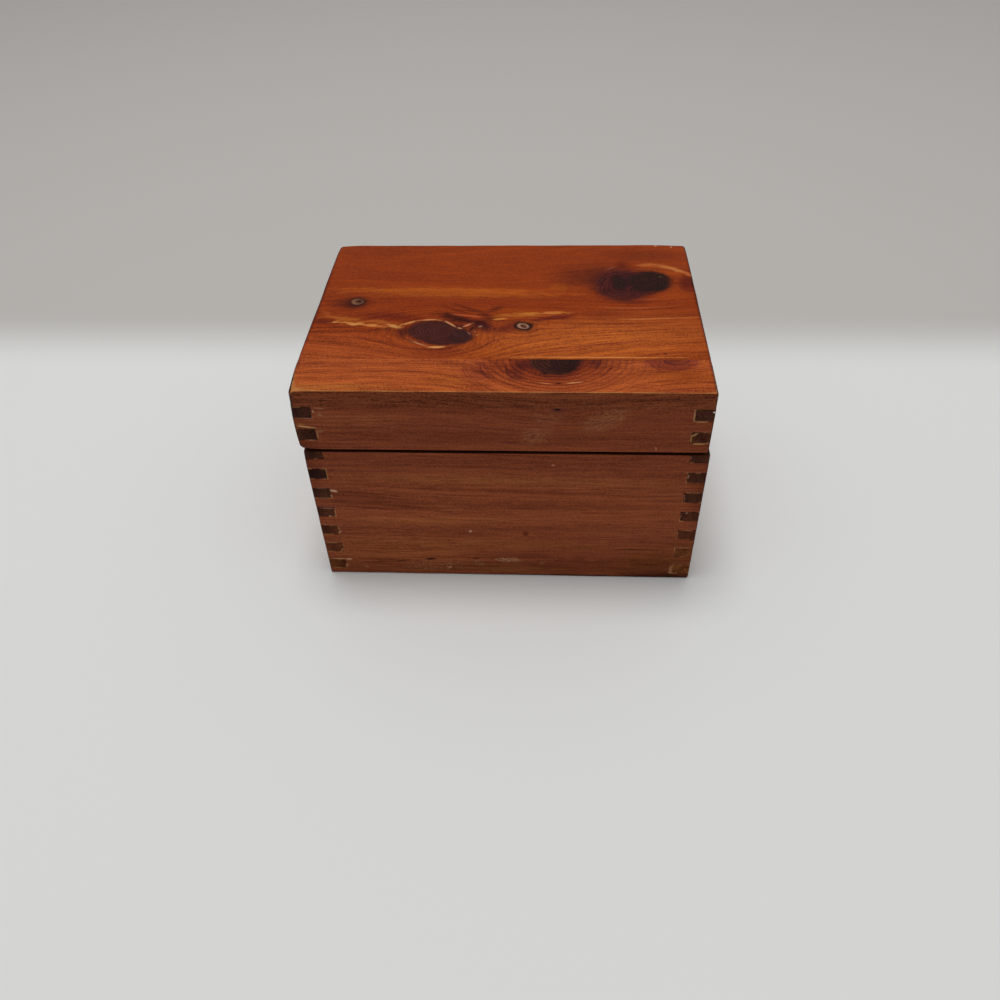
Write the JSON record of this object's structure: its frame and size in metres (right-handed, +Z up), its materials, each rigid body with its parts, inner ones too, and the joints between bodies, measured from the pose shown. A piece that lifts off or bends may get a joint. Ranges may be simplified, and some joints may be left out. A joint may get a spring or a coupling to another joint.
{
  "type": "recipe card box",
  "caption": "Small red cedar box for index cards, with box-jointed walls and a flat lid that opens on butt hinges at the back.",
  "frame": {"origin": "middle of the underside, on the surface that the box stands on", "axes": "+X to the right as seen from the front, +Y from the front towards the hinges at the back, +Z up"},
  "size_m": [0.147, 0.1083, 0.0923],
  "materials": {
    "cedar_walls": "rubbed varnish, satin, worn at the edges",
    "cedar_top": "rubbed varnish, satin",
    "cedar_bottom": "plain, worn",
    "brass_hinges": "dull, lightly tarnished",
    "brass_screws": "dull, lightly tarnished"
  },
  "bodies": {
    "base": {"base_front_wall": "cedar_walls", "base_back_wall": "cedar_walls", "base_left_wall": "cedar_walls", "base_right_wall": "cedar_walls", "base_bottom_panel": "cedar_bottom", "hinge_left_base_leaf": "brass_hinges", "hinge_left_pin": "brass_hinges", "hinge_left_base_screw_a": "brass_screws", "hinge_left_base_screw_b": "brass_screws", "hinge_right_base_leaf": "brass_hinges", "hinge_right_pin": "brass_hinges", "hinge_right_base_screw_a": "brass_screws", "hinge_right_base_screw_b": "brass_screws"},
    "lid": {"lid_front_wall": "cedar_walls", "lid_back_wall": "cedar_walls", "lid_left_wall": "cedar_walls", "lid_right_wall": "cedar_walls", "lid_top_front_board": "cedar_top", "lid_top_rear_board": "cedar_top", "hinge_left_lid_leaf": "brass_hinges", "hinge_left_lid_screw_a": "brass_screws", "hinge_left_lid_screw_b": "brass_screws", "hinge_right_lid_leaf": "brass_hinges", "hinge_right_lid_screw_a": "brass_screws", "hinge_right_lid_screw_b": "brass_screws"}
  },
  "joints": [
    {"name": "lid_hinge", "type": "hinge", "parent": "base", "child": "lid", "pos_m": [0, 0.05425, 0.06588], "axis": [-1, 0, 0], "range_deg": [0, 180]}
  ]
}
